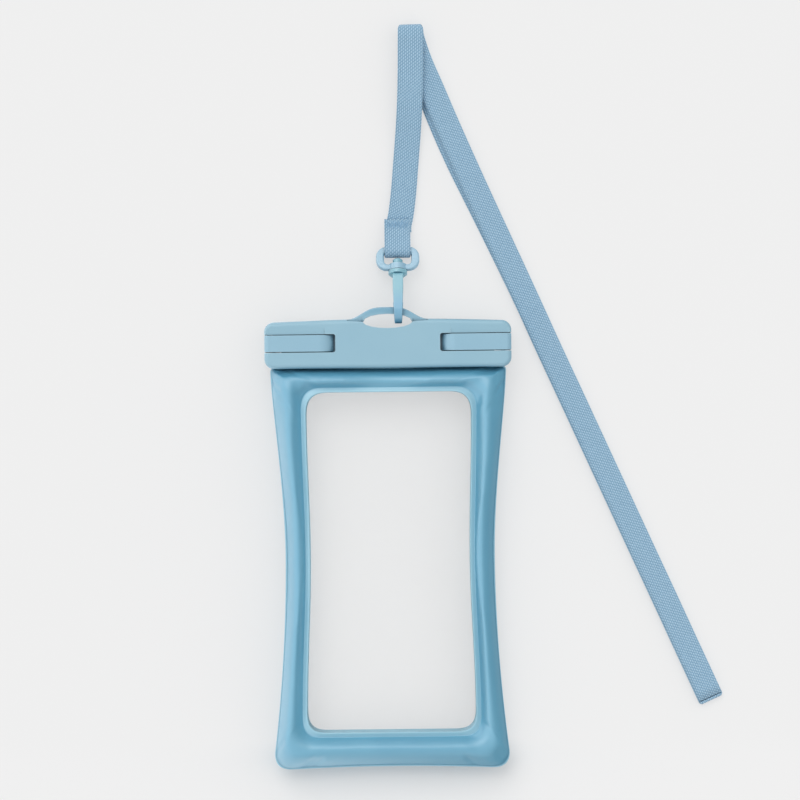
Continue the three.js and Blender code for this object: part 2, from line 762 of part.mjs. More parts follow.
// A strap's path whose steps fall on its own stations and whose flat face is given at each
class StrapPath extends THREE.CatmullRomCurve3 {
  constructor(stations) {
    super(stations.map((station) => station.at));
    this.faces = new THREE.CatmullRomCurve3(stations.map((station) => station.face));
  }
  getUtoTmapping(u) {
    return u;
  }
  computeFrenetFrames(steps) {
    const frames = { tangents: [], normals: [], binormals: [] };
    for (let i = 0; i <= steps; i++) {
      const tangent = this.getTangent(i / steps);
      const face = this.faces.getPoint(i / steps);
      face.addScaledVector(tangent, -face.dot(tangent)).normalize();
      frames.tangents.push(tangent);
      frames.normals.push(face);
      frames.binormals.push(tangent.clone().cross(face));
    }
    return frames;
  }
}

// Short leg from the ring up to the fold, as the lower ply's middle line
const shortLeg = [
  [5.25, strandStart, lowerPly],
  [5.25, 134.5, lowerPly],
  [6.15, 139, lowerPly],
  [6.9, 144, lowerPly],
  [7.7, 151, lowerPly],
  [8.4, 159, lowerPly],
  [9.1, 167, 0.9],
  [9.7, 174, 1.7],
  [10.2, 181, 2.9],
  [10.6, 188, 3.8],
  [10.9, 196, 4.1],
  [11.1, 204, 4.2],
  [11.2, 212, 4.5],
];

// Long leg from the fold down past the pouch to the far end, as seen from above, and how far the
// outer ply lies to the left of the inner one there
const longLeg = [
  [13, 212, 0],
  [15.8, 204, 0.5],
  [19.3, 195.8, 1.2],
  [26.3, 179, 1.9],
  [33.5, 162.3, 1.9],
  [41, 145.3, 1.2],
  [50.7, 123.7, 0.5],
  [60.4, 102, 0],
  [70, 80.3, 0],
  [79.8, 58.6, 0],
  [89.5, 37, 0],
  [99.3, 15.2, 0],
  [109, -6.4, 0],
  [118.8, -28.1, 0],
  [128.5, -49.8, 0],
  [137.9, -70.7, 0],
];
const foldAxis = new THREE.Vector3(11.4, 217.4, lowerPly + plyPitch + legSlack + 0.2);
const foldLean = THREE.MathUtils.degToRad(1);
const farEndRadius = plyPitch / 2;

// Stations of a half turn round a level axis: it starts on top for rise 1 and below for rise -1
function halfTurn(axis, radius, outward, slide, rise) {
  return Array.from({ length: turnSteps + 1 }, (_, i) => {
    const angle = (i / turnSteps) * Math.PI;
    const face = outward.clone().multiplyScalar(Math.sin(angle));
    face.z += rise * Math.cos(angle);
    const at = axis.clone().addScaledVector(face, radius).addScaledVector(slide, radius * angle);
    return { at, face };
  });
}

// One strand, ply 0 inside the fold or ply 1 outside it
function strand(ply) {
  const up = new THREE.Vector3(0, 0, 1);
  const down = new THREE.Vector3(0, 0, -1);
  const outward = new THREE.Vector3(-Math.sin(foldLean), Math.cos(foldLean), 0);
  const slide = new THREE.Vector3(Math.cos(foldLean), Math.sin(foldLean), 0);
  slide.multiplyScalar(Math.tan(foldLean));
  const radius = legSlack + 0.2 + ply * plyPitch;
  const legHeight = lowerPly + (1 - ply) * plyPitch;
  const stations = shortLeg.map(([x, y, z]) => ({
    at: new THREE.Vector3(x, y, z + ply * plyPitch),
    face: up,
  }));
  stations.push(...halfTurn(foldAxis, radius, outward, slide, 1));
  stations.push(
    ...longLeg.map(([x, y, drift]) => ({
      at: new THREE.Vector3(x - ply * drift, y, legHeight),
      face: down,
    })),
  );
  if (ply === 1) {
    const last = longLeg.at(-1);
    const before = longLeg.at(-2);
    const heading = new THREE.Vector3(last[0] - before[0], last[1] - before[1], 0).normalize();
    const axis = new THREE.Vector3(last[0], last[1], lowerPly + farEndRadius);
    axis.addScaledVector(heading, gap);
    stations.push(...halfTurn(axis, farEndRadius, heading, new THREE.Vector3(), -1));
  }
  return stations;
}

// A ply's section: half thickness along the face, half width across it
function plySection() {
  const thick = plyThickness / 2;
  const wide = strapWidth / 2;
  const corner = thick * 0.6;
  const shape = new THREE.Shape();
  shape.moveTo(thick, corner - wide);
  shape.lineTo(thick, wide - corner);
  shape.lineTo(thick - corner, wide);
  shape.lineTo(corner - thick, wide);
  shape.lineTo(-thick, wide - corner);
  shape.lineTo(-thick, corner - wide);
  shape.lineTo(corner - thick, -wide);
  shape.lineTo(thick - corner, -wide);
  return shape;
}

["strap_strand_inner", "strap_strand_outer"].forEach((name, ply) => {
  const stations = strand(ply);
  const geometry = new THREE.ExtrudeGeometry(plySection(), {
    steps: stations.length - 1,
    extrudePath: new StrapPath(stations),
  });
  addPiece(name, geometry, webbing);
});

export default pouch;
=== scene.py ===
# A floating waterproof pouch: inflated frame, clear windows, latched clamp, swivel hook and neck strap.
# Metres. It lies on its back: +Z faces up out of the front window and +Y points at the clamp.
import math
import bpy
import bmesh
from mathutils import Matrix, Vector, noise
from mathutils.geometry import interpolate_bezier


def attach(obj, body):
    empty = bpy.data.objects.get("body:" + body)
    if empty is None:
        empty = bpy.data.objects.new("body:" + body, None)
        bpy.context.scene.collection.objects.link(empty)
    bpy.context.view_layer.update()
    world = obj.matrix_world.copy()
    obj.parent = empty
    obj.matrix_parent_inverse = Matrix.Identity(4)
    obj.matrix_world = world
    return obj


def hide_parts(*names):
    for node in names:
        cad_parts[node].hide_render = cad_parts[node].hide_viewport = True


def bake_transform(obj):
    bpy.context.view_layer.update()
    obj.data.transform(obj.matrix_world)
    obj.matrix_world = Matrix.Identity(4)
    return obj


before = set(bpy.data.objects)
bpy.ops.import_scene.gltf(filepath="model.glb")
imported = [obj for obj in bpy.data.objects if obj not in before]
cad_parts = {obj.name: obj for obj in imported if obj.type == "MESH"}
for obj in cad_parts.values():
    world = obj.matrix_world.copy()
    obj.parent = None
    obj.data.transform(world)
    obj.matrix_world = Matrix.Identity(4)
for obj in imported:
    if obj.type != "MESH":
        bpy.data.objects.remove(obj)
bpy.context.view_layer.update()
scene = bpy.context.scene
scene.view_settings.view_transform = "Standard"
print("frame loaded")

# Camera

picture = {
    "over": (0.00497, 0.05929),  # the place under the middle of the picture
    "distance": 1.3,
    "faceHeight": 0.012,  # height at which the picture is as wide as the next line says
    "width": 0.344,
    "roll": -0.65,  # degrees, the pouch lies a little askew
}


def makeCamera():
    data = bpy.data.cameras.new("overhead")
    data.sensor_width = 36
    data.lens = data.sensor_width * picture["distance"] / picture["width"]
    data.clip_start, data.clip_end = 0.05, 50
    camera = bpy.data.objects.new("overhead", data)
    camera.location = (*picture["over"], picture["faceHeight"] + picture["distance"])
    camera.rotation_euler = (0, 0, math.radians(picture["roll"]))
    scene.collection.objects.link(camera)
    scene.camera = camera


makeCamera()
print("camera set")

# Small helpers


def linear(code):  # an sRGB hex colour as linear RGBA
    parts = [int(code[i : i + 2], 16) / 255 for i in (1, 3, 5)]
    return (*[p / 12.92 if p <= 0.04045 else ((p + 0.055) / 1.055) ** 2.4 for p in parts], 1)


def addNode(tree, kind, inputs=None, stops=None, **settings):  # a shader node, its settings and links
    made = tree.nodes.new(kind)
    for key, value in settings.items():
        setattr(made, key, value)
    for key, value in (inputs or {}).items():
        if isinstance(value, bpy.types.NodeSocket):
            tree.links.new(value, made.inputs[key])
        else:
            made.inputs[key].default_value = value
    for i, (place, code) in enumerate(stops or []):
        elements = made.color_ramp.elements
        element = elements[i] if i < len(elements) else elements.new(place)
        element.position, element.color = place, linear(code)
    return made


def newMaterial(name):  # an empty material with its output
    material = bpy.data.materials.new(name)
    material.use_nodes = True
    material.node_tree.nodes.clear()
    out = material.node_tree.nodes.new("ShaderNodeOutputMaterial")
    return material, material.node_tree, out


def newPiece(name, mesh, material):  # an object on a finished mesh
    piece = bpy.data.objects.new(name, mesh)
    mesh.materials.clear()
    mesh.materials.append(material)
    scene.collection.objects.link(piece)
    return piece


def meshFrom(name, bm, smooth=True):
    mesh = bpy.data.meshes.new(name)
    bm.to_mesh(mesh)
    bm.free()
    if smooth:
        mesh.shade_smooth()
    return mesh


# Woven polyester: matt yarns that cross as small pillows, with painted light on their tops and painted shade between
# them

weave = {
    "rib": 0.00085,  # width of one lengthwise rib; real ones are 0.6 mm, drawn coarser to show
    "float": 0.0014,  # length over which a yarn stays on top
    "step": 0.5,  # how far the next rib is shifted, which makes the diagonals
    "slant": 0.3,  # how much each float leans across its rib
    # painted light and shade on the weave: gap is the shade between yarns, top the light on their tops, side the tone
    # between
    "gap": "#769bb8",
    "side": "#8cb1cb",
    "top": "#abcadf",
}


def wovenPolyester(name, settings):
    material, tree, out = newMaterial(name)
    uv = addNode(tree, "ShaderNodeUVMap", uv_map="weave")
    split = addNode(tree, "ShaderNodeSeparateXYZ", {0: uv.outputs[0]})
    ribs = addNode(tree, "ShaderNodeMath", {0: split.outputs[0], 1: 1 / settings["rib"]}, operation="MULTIPLY")
    rib = addNode(tree, "ShaderNodeMath", {0: ribs.outputs[0]}, operation="FLOOR")
    ribShare = addNode(tree, "ShaderNodeMath", {0: ribs.outputs[0]}, operation="FRACT")
    side = addNode(tree, "ShaderNodeMath", {0: rib.outputs[0]}, operation="ABSOLUTE")
    shift = addNode(tree, "ShaderNodeMath", {0: side.outputs[0], 1: settings["step"]}, operation="MULTIPLY")
    lean = addNode(
        tree, "ShaderNodeMath", {0: ribShare.outputs[0], 1: settings["slant"], 2: shift.outputs[0]},
        operation="MULTIPLY_ADD",
    )
    runs = addNode(
        tree, "ShaderNodeMath", {0: split.outputs[1], 1: 1 / settings["float"], 2: lean.outputs[0]},
        operation="MULTIPLY_ADD",
    )
    runShare = addNode(tree, "ShaderNodeMath", {0: runs.outputs[0]}, operation="FRACT")
    waves = []
    for share in (ribShare, runShare):
        turn = addNode(tree, "ShaderNodeMath", {0: share.outputs[0], 1: math.pi}, operation="MULTIPLY")
        waves.append(addNode(tree, "ShaderNodeMath", {0: turn.outputs[0]}, operation="SINE").outputs[0])
    pillow = addNode(tree, "ShaderNodeMath", {0: waves[0], 1: waves[1]}, operation="MULTIPLY")
    where = addNode(tree, "ShaderNodeTexCoord")
    uneven = addNode(
        tree, "ShaderNodeTexNoise", {"Vector": where.outputs["Object"], "Scale": 900.0, "Detail": 3.0}
    )
    mixed = addNode(
        tree, "ShaderNodeMath", {0: uneven.outputs[0], 1: 0.35, 2: pillow.outputs[0]}, operation="MULTIPLY_ADD"
    )
    # painted light and shade: the colour follows the pillow's height, dark between yarns and light on their tops
    colour = addNode(
        tree, "ShaderNodeValToRGB", {0: mixed.outputs[0]},
        stops=[(0.12, settings["gap"]), (0.95, settings["top"]), (0.5, settings["side"])],
    )
    bump = addNode(
        tree, "ShaderNodeBump", {"Strength": 0.7, "Distance": 0.0003, "Height": mixed.outputs[0]}
    )
    shader = addNode(
        tree, "ShaderNodeBsdfPrincipled",
        {
            "Base Color": colour.outputs[0], "Roughness": 0.82, "IOR": 1.5, "Specular IOR Level": 0.3,
            "Sheen Weight": 0.12, "Sheen Roughness": 0.5, "Normal": bump.outputs[0],
        },
    )
    tree.links.new(shader.outputs[0], out.inputs[0])
    return material


webbing = wovenPolyester("wovenPolyester", weave)

# Neck strap: one strip sewn into a loop, so two plies lie on each other from the sewn end to the far end

strap = {
    "thickness": 0.0012,
    "width": 0.0110,
    "pitch": 0.0015,  # from one ply's middle to the next
    "lower": 0.0007,  # height of the lower ply's middle
    "shortLeg": [
        (0.00525, 0.1319, 0.0007), (0.00525, 0.1345, 0.0007), (0.00615, 0.1390, 0.0007),
        (0.0069, 0.1440, 0.0007), (0.0077, 0.1510, 0.0007), (0.0084, 0.1590, 0.0007),
        (0.0091, 0.1670, 0.0009), (0.0097, 0.1740, 0.0017), (0.0102, 0.1810, 0.0029),
        (0.0106, 0.1880, 0.0038), (0.0109, 0.1960, 0.0041), (0.0111, 0.2040, 0.0042),
        (0.0112, 0.2120, 0.0045),
    ],
    "longLeg": [  # and how far the outer ply lies to the left of the inner one
        (0.0130, 0.2120, 0), (0.0158, 0.2040, 0.0005), (0.0193, 0.1958, 0.0012),
        (0.0263, 0.1790, 0.0019), (0.0335, 0.1623, 0.0019), (0.0410, 0.1453, 0.0012),
        (0.0507, 0.1237, 0.0005), (0.0604, 0.1020, 0), (0.0700, 0.0803, 0),
        (0.0798, 0.0586, 0), (0.0895, 0.0370, 0), (0.0993, 0.0152, 0),
        (0.1090, -0.0064, 0), (0.1188, -0.0281, 0), (0.1285, -0.0498, 0), (0.1379, -0.0707, 0),
    ],
    "foldAxis": (0.0113, 0.2185, 0.0036),
    "foldLean": 1.0,  # degrees
    "foldRadius": 0.0012,  # of the inner ply's middle line
    "foldWaist": 0.13,  # share by which the strap draws in where it turns
    "gap": 0.0003,
    # a place on the long leg, and below it one beside the short leg
    "finePerStep": 5,
    "twistStart": (0.0268, 0.1664, 0),  # from here on the strap stays, and before the end it turns with the ring
    "twistEnd": (0.0050, 0.1568, 0),
}


def halfTurn(axis, radius, outward, slide, rise):  # seven stations round a level axis
    made = []
    for i in range(7):
        angle = math.pi * i / 6
        face = outward * math.sin(angle) + Vector((0, 0, rise * math.cos(angle)))
        wide = 1 - strap["foldWaist"] * math.sin(angle) ** 4
        made.append((axis + face * radius + slide * (radius * angle), face, wide))
    return made


def strandStations(ply):  # 0 runs inside the fold and 1 outside it
    lean = math.radians(strap["foldLean"])
    outward = Vector((-math.sin(lean), math.cos(lean), 0))
    slide = Vector((math.cos(lean), math.sin(lean), 0)) * math.tan(lean)
    lift = ply * strap["pitch"]
    made = [(Vector((x, y, z + lift)), Vector((0, 0, 1)), 1) for x, y, z in strap["shortLeg"]]
    made += halfTurn(Vector(strap["foldAxis"]), strap["foldRadius"] + lift, outward, slide, 1)
    height = strap["lower"] + (1 - ply) * strap["pitch"]
    made += [
        (Vector((x - ply * drift, y, height)), Vector((0, 0, -1)), 1) for x, y, drift in strap["longLeg"]
    ]
    if ply == 1:
        last, before = (Vector((*strap["longLeg"][i][:2], 0)) for i in (-1, -2))
        heading = (last - before).normalized()
        turn = strap["pitch"] / 2
        axis = last + heading * strap["gap"] + Vector((0, 0, strap["lower"] + turn))
        made += halfTurn(axis, turn, heading, Vector(), -1)
    return made


def smoothLine(stations, fine):  # a smooth line through stations of place, face and share of the width
    places = [station[0] for station in stations]
    last = len(places) - 1
    headings = []
    for i in range(last + 1):
        a = places[i] - places[max(i - 1, 0)]
        b = places[min(i + 1, last)] - places[i]
        headings.append((a.normalized() * b.length + b.normalized() * a.length).normalized())
        if i in (0, last):
            headings[-1] = (a + b).normalized()
    made = []
    for i in range(last):
        reach = (places[i + 1] - places[i]).length / 3
        points = interpolate_bezier(
            places[i], places[i] + headings[i] * reach,
            places[i + 1] - headings[i + 1] * reach, places[i + 1], fine + 1,
        )
        for j, point in enumerate(points[:-1]):
            wide = stations[i][2] + (stations[i + 1][2] - stations[i][2]) * j / fine
            made.append((point, stations[i][1].lerp(stations[i + 1][1], j / fine), wide))
    made.append(stations[-1])
    return made


def standing(line, i):  # the matrix that sets a section on the line: across, face, along
    place, face, wide = line[i]
    along = (line[min(i + 1, len(line) - 1)][0] - line[max(i - 1, 0)][0]).normalized()
    face = (face - along * face.dot(along)).normalized()
    across = face.cross(along) * wide
    return Matrix.Translation(place) @ Matrix((across, face, along)).transposed().to_4x4()


def bandSection(width, thickness):  # a flat band's section with soft edges, as (across, up)
    w, t = width / 2, thickness / 2
    half = [(w * share, t) for share in (-0.92, -0.6, -0.3, 0, 0.3, 0.6, 0.92)]
    half += [(w - 0.15 * t, t * 0.62), (w, 0)]
    return half + [(-u, -v) for u, v in half]


def sweptBand(name, line, section, start=0.0):  # a band swept along a line, with its weave coordinates
    bm = bmesh.new()
    across = bm.verts.layers.float.new("across")
    along = bm.verts.layers.float.new("along")
    ring = []
    for u, v in section:
        vert = bm.verts.new(standing(line, 0) @ Vector((u, v, 0)))
        vert[across], vert[along] = u, start
        ring.append(vert)
    edges = [bm.edges.new((ring[i - 1], ring[i])) for i in range(len(ring))]
    firstEdges, distance = edges, start
    for i in range(1, len(line)):
        made = bmesh.ops.extrude_edge_only(bm, edges=edges)["geom"]
        verts = [g for g in made if isinstance(g, bmesh.types.BMVert)]
        new = set(verts)
        edges = [g for g in made if isinstance(g, bmesh.types.BMEdge) and new.issuperset(g.verts)]
        bmesh.ops.transform(bm, matrix=standing(line, i) @ standing(line, i - 1).inverted(), verts=verts)
        distance += (line[i][0] - line[i - 1][0]).length
        for vert in verts:
            vert[along] = distance
    for loop in (firstEdges, edges):
        bmesh.ops.edgeloop_fill(bm, edges=loop)
    bmesh.ops.recalc_face_normals(bm, faces=bm.faces)
    uv = bm.loops.layers.uv.new("weave")
    for face in bm.faces:
        for corner in face.loops:
            corner[uv].uv = (corner.vert[across], corner.vert[along])
    return meshFrom(name, bm)


def lineLength(line):
    return sum((line[i][0] - line[i - 1][0]).length for i in range(1, len(line)))


def makeStrands():
    section = bandSection(strap["width"], strap["thickness"])
    for ply, name in enumerate(("strandInner", "strandOuter")):
        line = smoothLine(strandStations(ply), strap["finePerStep"])
        piece = newPiece(name, sweptBand(name, line, section), webbing)
        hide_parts("strap_strand_inner" if ply == 0 else "strap_strand_outer")
        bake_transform(piece)
        print("strand", name, round(lineLength(line), 4))


makeStrands()
print("strap laid")

# Light: an even surround, a broad soft key from the left, and softboxes that only the gloss mirrors

light = {
    "keyStrength": 0.8,
    "keyAngle": 44,  # degrees across, as wide as a large softbox
    "keyHeight": 52,  # degrees above the floor
    "keySide": 112,  # degrees from +X, seen from above
    "surround": (0.81, -0.25),  # strength above, and how much it grows towards the left
    "softbox": (1.4, 1.6),  # the same for what the gloss mirrors
    "background": "#efefef",
    "fill": 0.6,  # share of the floor that shows its plain colour, which lightens the shadow
    "fillEnd": (-0.088, -0.097),  # the fill fades out between these places along Y
    "floorGloss": (2.7, 0.1),  # how bright the gloss mirrors the floor, left and right of the pouch
    "floorReach": 0.075,
}


def makeLight():
    sun = bpy.data.lights.new("softKey", "SUN")
    sun.energy = light["keyStrength"]
    sun.angle = math.radians(light["keyAngle"])
    key = bpy.data.objects.new("softKey", sun)
    high, side = math.radians(light["keyHeight"]), math.radians(light["keySide"])
    toward = Vector((math.cos(high) * math.cos(side), math.cos(high) * math.sin(side), math.sin(high)))
    key.rotation_euler = toward.to_track_quat("Z", "Y").to_euler()
    scene.collection.objects.link(key)
    world = bpy.data.worlds.new("surround")
    scene.world = world
    world.use_nodes = True
    tree = world.node_tree
    tree.nodes.clear()
    where = addNode(tree, "ShaderNodeTexCoord")
    across = addNode(tree, "ShaderNodeSeparateXYZ", {0: where.outputs["Generated"]})
    made = []
    for level, lean in (light["surround"], light["softbox"]):
        bright = addNode(
            tree, "ShaderNodeMath", {0: across.outputs[0], 1: -lean, 2: level}, operation="MULTIPLY_ADD"
        )
        lit = addNode(tree, "ShaderNodeMath", {0: bright.outputs[0], 1: 0.03}, operation="MAXIMUM")
        made.append(
            addNode(tree, "ShaderNodeBackground", {"Color": linear("#ffffff"), "Strength": lit.outputs[0]})
        )
    path = addNode(tree, "ShaderNodeLightPath")
    plain = addNode(tree, "ShaderNodeBackground", {"Color": linear(light["background"]), "Strength": 1.0})
    mirrored = addNode(
        tree, "ShaderNodeMixShader", {0: path.outputs["Is Glossy Ray"], 1: made[0].outputs[0], 2: made[1].outputs[0]}
    )
    seen = addNode(
        tree, "ShaderNodeMath",
        {0: path.outputs["Is Camera Ray"], 1: path.outputs["Is Transmission Ray"]}, operation="MAXIMUM",
    )
    mix = addNode(tree, "ShaderNodeMixShader", {0: seen.outputs[0], 1: mirrored.outputs[0], 2: plain.outputs[0]})
    addNode(tree, "ShaderNodeOutputWorld", {"Surface": mix.outputs[0]})


def makeFloor():
    material, tree, out = newMaterial("paleFloor")
    path = addNode(tree, "ShaderNodeLightPath")
    where = addNode(tree, "ShaderNodeTexCoord")
    split = addNode(tree, "ShaderNodeSeparateXYZ", {0: where.outputs["Object"]})
    left, right = light["floorGloss"]
    # painted reflection: seen in gloss, the floor is drawn brighter to the left of the pouch and darker to the right
    gloss = addNode(
        tree, "ShaderNodeMapRange",
        {
            "Value": split.outputs[0], "From Min": -light["floorReach"], "From Max": light["floorReach"],
            "To Min": left, "To Max": right,
        },
    )
    dim = addNode(tree, "ShaderNodeMix", {0: path.outputs["Is Glossy Ray"], 2: 1.0, 3: gloss.outputs[0]})
    colour = addNode(
        tree, "ShaderNodeVectorMath", {0: linear(light["background"])[:3], "Scale": dim.outputs[0]}, operation="SCALE"
    )
    lit = addNode(tree, "ShaderNodeBsdfDiffuse", {"Color": colour.outputs[0]})
    even = addNode(tree, "ShaderNodeEmission", {"Color": linear(light["background"])})
    high, low = light["fillEnd"]
    fill = addNode(
        tree, "ShaderNodeMapRange",
        {"Value": split.outputs[1], "From Min": low, "From Max": high, "To Min": 0.0, "To Max": light["fill"]},
    )
    share = addNode(tree, "ShaderNodeMath", {0: path.outputs["Is Camera Ray"], 1: fill.outputs[0]}, operation="MULTIPLY")
    shader = addNode(tree, "ShaderNodeMixShader", {0: share.outputs[0], 1: lit.outputs[0], 2: even.outputs[0]})
    tree.links.new(shader.outputs[0], out.inputs[0])
    bm = bmesh.new()
    bmesh.ops.create_grid(bm, x_segments=1, y_segments=1, size=4)
    floor = newPiece("floor", meshFrom("floor", bm, smooth=False), material)


makeLight()
makeFloor()
print("light and floor set")

# Rigid plastics

clampPlastic = {
    "name": "mouldedAbs",  # moulded ABS, fine spark-eroded surface: satin, slightly uneven, edges drawn paler
    "base": "#8ab3c5",
    "shade": "#86b0c3",
    "edge": "#adcfdb",
    # painted shade: slots and crevices are drawn towards this dark colour
    "creviceShade": "#2a5469",
    "deep": "#6fa2ba",  # painted shade: the thin arch of the loop is drawn darker, fading in between these places along Y
    "deepFrom": 0.0945, "deepTo": 0.0975,
    "roughness": (0.42, 0.54),
    "grain": 0.00055,  # spark grain; real 0.1 mm, drawn coarser to show
    "grainDepth": 0.000012,
}
latchPlastic = dict(clampPlastic, name="mouldedAbsLatch", base="#88b2c6", shade="#84afc4", roughness=(0.38, 0.5))
hookPlastic = {
    "name": "mouldedAcetal",  # moulded acetal: smoother and waxy, softer highlights
    "base": "#7fb4c3",
    "shade": "#7ab0c0",
    "edge": "#b6d8e2",
    # painted shade: slots and crevices are drawn towards this dark colour
    "creviceShade": "#2f6680",
    # painted shade: the bow's end is drawn darker, fading in between these places along Y
    "deep": "#6ea5c2",
    "deepFrom": 0.1075, "deepTo": 0.1005,
    "roughness": (0.3, 0.4),
    "grain": 0.0008,
    "grainDepth": 0.000006,
}


ringPlastic = dict(hookPlastic, name="mouldedAcetalRing", base="#8cb4c9", shade="#92b9cf", deep="#8cb4c9")


def mouldedPlastic(settings):
    material, tree, out = newMaterial(settings["name"])
    where = addNode(tree, "ShaderNodeTexCoord")
    flow = addNode(tree, "ShaderNodeTexNoise", {"Vector": where.outputs["Object"], "Scale": 45.0, "Detail": 2.0})
    colour = addNode(
        tree, "ShaderNodeValToRGB", {0: flow.outputs[0]}, stops=[(0.35, settings["base"]), (0.65, settings["shade"])]
    )
    grain = addNode(
        tree, "ShaderNodeTexNoise",
        {"Vector": where.outputs["Object"], "Scale": 1 / settings["grain"], "Detail": 2.0},
    )
    place = addNode(tree, "ShaderNodeSeparateXYZ", {0: where.outputs["Object"]})
    # painted shade, placed by position along Y
    deep = addNode(
        tree, "ShaderNodeMapRange",
        {"Value": place.outputs[1], "From Min": settings["deepFrom"], "From Max": settings["deepTo"]},
    )
    placeShaded = addNode(
        tree, "ShaderNodeMix", {0: deep.outputs[0], 6: colour.outputs[0], 7: linear(settings["deep"])},
        data_type="RGBA",
    )
    # painted shade: the colour darkens where ambient occlusion finds little open space
    openness = addNode(tree, "ShaderNodeAmbientOcclusion", {"Distance": 0.003}, samples=6)
    creviceShadeMask = addNode(
        tree, "ShaderNodeMapRange",
        {"Value": openness.outputs["AO"], "From Min": 0.72, "From Max": 0.3, "To Min": 0.0, "To Max": 0.9},
    )
    shaded = addNode(
        tree, "ShaderNodeMix", {0: creviceShadeMask.outputs[0], 6: placeShaded.outputs[2], 7: linear(settings["creviceShade"])},
        data_type="RGBA",
    )
    # edges are drawn paler where the rounded normal turns away from the face's own
    soft = addNode(tree, "ShaderNodeBevel", {"Radius": 0.0007}, samples=4)
    surface = addNode(tree, "ShaderNodeNewGeometry")
    facing = addNode(
        tree, "ShaderNodeVectorMath", {0: soft.outputs[0], 1: surface.outputs["Normal"]}, operation="DOT_PRODUCT"
    )
    edge = addNode(
        tree, "ShaderNodeMapRange",
        {"Value": facing.outputs["Value"], "From Min": 0.99, "From Max": 0.8, "To Min": 0.0, "To Max": 0.45},
    )
    paleEdged = addNode(
        tree, "ShaderNodeMix", {0: edge.outputs[0], 6: shaded.outputs[2], 7: linear(settings["edge"])},
        data_type="RGBA",
    )
    low, high = settings["roughness"]
    rough = addNode(
        tree, "ShaderNodeMapRange", {"Value": grain.outputs[0], "To Min": low, "To Max": high}
    )
    bump = addNode(
        tree, "ShaderNodeBump", {"Strength": 0.5, "Distance": settings["grainDepth"], "Height": grain.outputs[0]}
    )
    shader = addNode(
        tree, "ShaderNodeBsdfPrincipled",
        {
            "Base Color": paleEdged.outputs[2], "Roughness": rough.outputs[0], "IOR": 1.54,
            "Specular IOR Level": 0.8, "Normal": bump.outputs[0],
        },
    )
    tree.links.new(shader.outputs[0], out.inputs[0])
    return material


clampAbs = mouldedPlastic(clampPlastic)
latchAbs = mouldedPlastic(latchPlastic)
acetal = mouldedPlastic(hookPlastic)
acetalRing = mouldedPlastic(ringPlastic)

# Rigid pieces take the CAD node's form, with its facets smoothed and its hard edges broken

rigid = {
    "clampJawFront": ("jaw_front", "root", "jaw_plastic", clampAbs, 0.00022),
    "clampJawBack": ("jaw_back", "root", "jaw_plastic", clampAbs, 0.00022),
    "latchRight": ("latch_right", "latch_right", "latch_plastic", latchAbs, 0.0002),
    "latchLeft": ("latch_left", "latch_left", "latch_plastic", latchAbs, 0.0002),
    "hookBow": ("hook_body", "root", "hook_plastic", acetal, 0.00012),
    "hookGate": ("hook_gate", "gate", "hook_plastic", acetal, 0.00008),
    "swivelRing": ("swivel_ring", "swivel", "hook_plastic", acetalRing, 0.00012),
}


def makeRigid():
    for name, (node, body, slotName, material, edgeWidth) in rigid.items():
        bm = bmesh.new()
        bm.from_mesh(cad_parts[node].data)
        bmesh.ops.remove_doubles(bm, verts=bm.verts, dist=3e-6)
        bmesh.ops.dissolve_limit(
            bm, angle_limit=math.radians(0.7), verts=bm.verts, edges=bm.edges, use_dissolve_boundaries=False
        )
        mesh = meshFrom(name, bm)
        mesh.set_sharp_from_angle(angle=math.radians(38))
        piece = newPiece(name, mesh, material)
        bevel = piece.modifiers.new("brokenEdges", "BEVEL")
        bevel.width, bevel.segments = edgeWidth, 2
        bevel.limit_method, bevel.angle_limit = "ANGLE", math.radians(38)
        bevel.harden_normals = False
        normals = piece.modifiers.new("flatFaces", "WEIGHTED_NORMAL")
        normals.keep_sharp = False
        normals.weight = 80
        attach(piece, body)
        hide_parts(node)


makeRigid()
print("rigid pieces made")

# Inflated frame: two welded films a side, blown up between the outer weld and the lip round the window

air = {
    "middle": 0.010,
    "spacing": 0.0019,  # of the mesh along the weld
    "shoulder": 0.0508, "waist": 0.0451, "foot": 0.0506, "waistY": -0.008,
    "top": 0.0735, "bottom": -0.0993, "hollow": 0.001,
    "shoulderRound": 0.0015, "footRound": 0.0066,
    "flange": 0.0008, "film": 0.00045, "half": 0.00015,
    "lipWidth": 0.0021, "lipThickness": 0.0006, "lipLow": 0.005, "lipRise": 0.0007,
    "sideCrest": 0.0082, "footCrest": 0.010, "mouthFall": 0.0012, "crestShare": 0.6,
    "mouthCrestShare": 0.62,
    "pinches": [  # places on the weld where the film is gathered, and how far along the weld it reaches
        (-0.0385, -0.0988, 0.0014), (-0.0350, -0.0988, 0.0011), (0.0362, -0.0988, 0.0016),
        (-0.0505, -0.0925, 0.0015), (0.0490, -0.0972, 0.0013), (-0.0478, 0.07285, 0.0013),
        (-0.0452, 0.07285, 0.0009), (0.0470, 0.07285, 0.0014), (0.0440, 0.07285, 0.0010),
        (-0.0506, 0.0690, 0.0013), (0.0507, 0.0680, 0.0013),
    ],
    "pinchDepth": 0.0018,
    "growth": 0.012,  # extra film that has to find room in wrinkles
    "pressure": 3.0,
    "frames": 24,
    "cap": 0.0007,  # how far the film may move
    "calm": 0.1,  # share of the wrinkles kept on the long sides
    "corners": [(-0.0470, -0.0950), (0.0470, -0.0950), (-0.0475, 0.0700), (0.0475, 0.0700)],
    "cornerReach": 0.013,
}
window = {
    "top": 0.0628, "bottom": -0.083,
    "halfTop": 0.0355, "halfWaist": 0.0343, "halfBottom": 0.0362,
    "roundTop": 0.0086, "roundBottom": 0.0076,
    "film": 0.0005, "depth": 0.0042,
    "wave": 0.00035,  # height of the slack film's waves
}


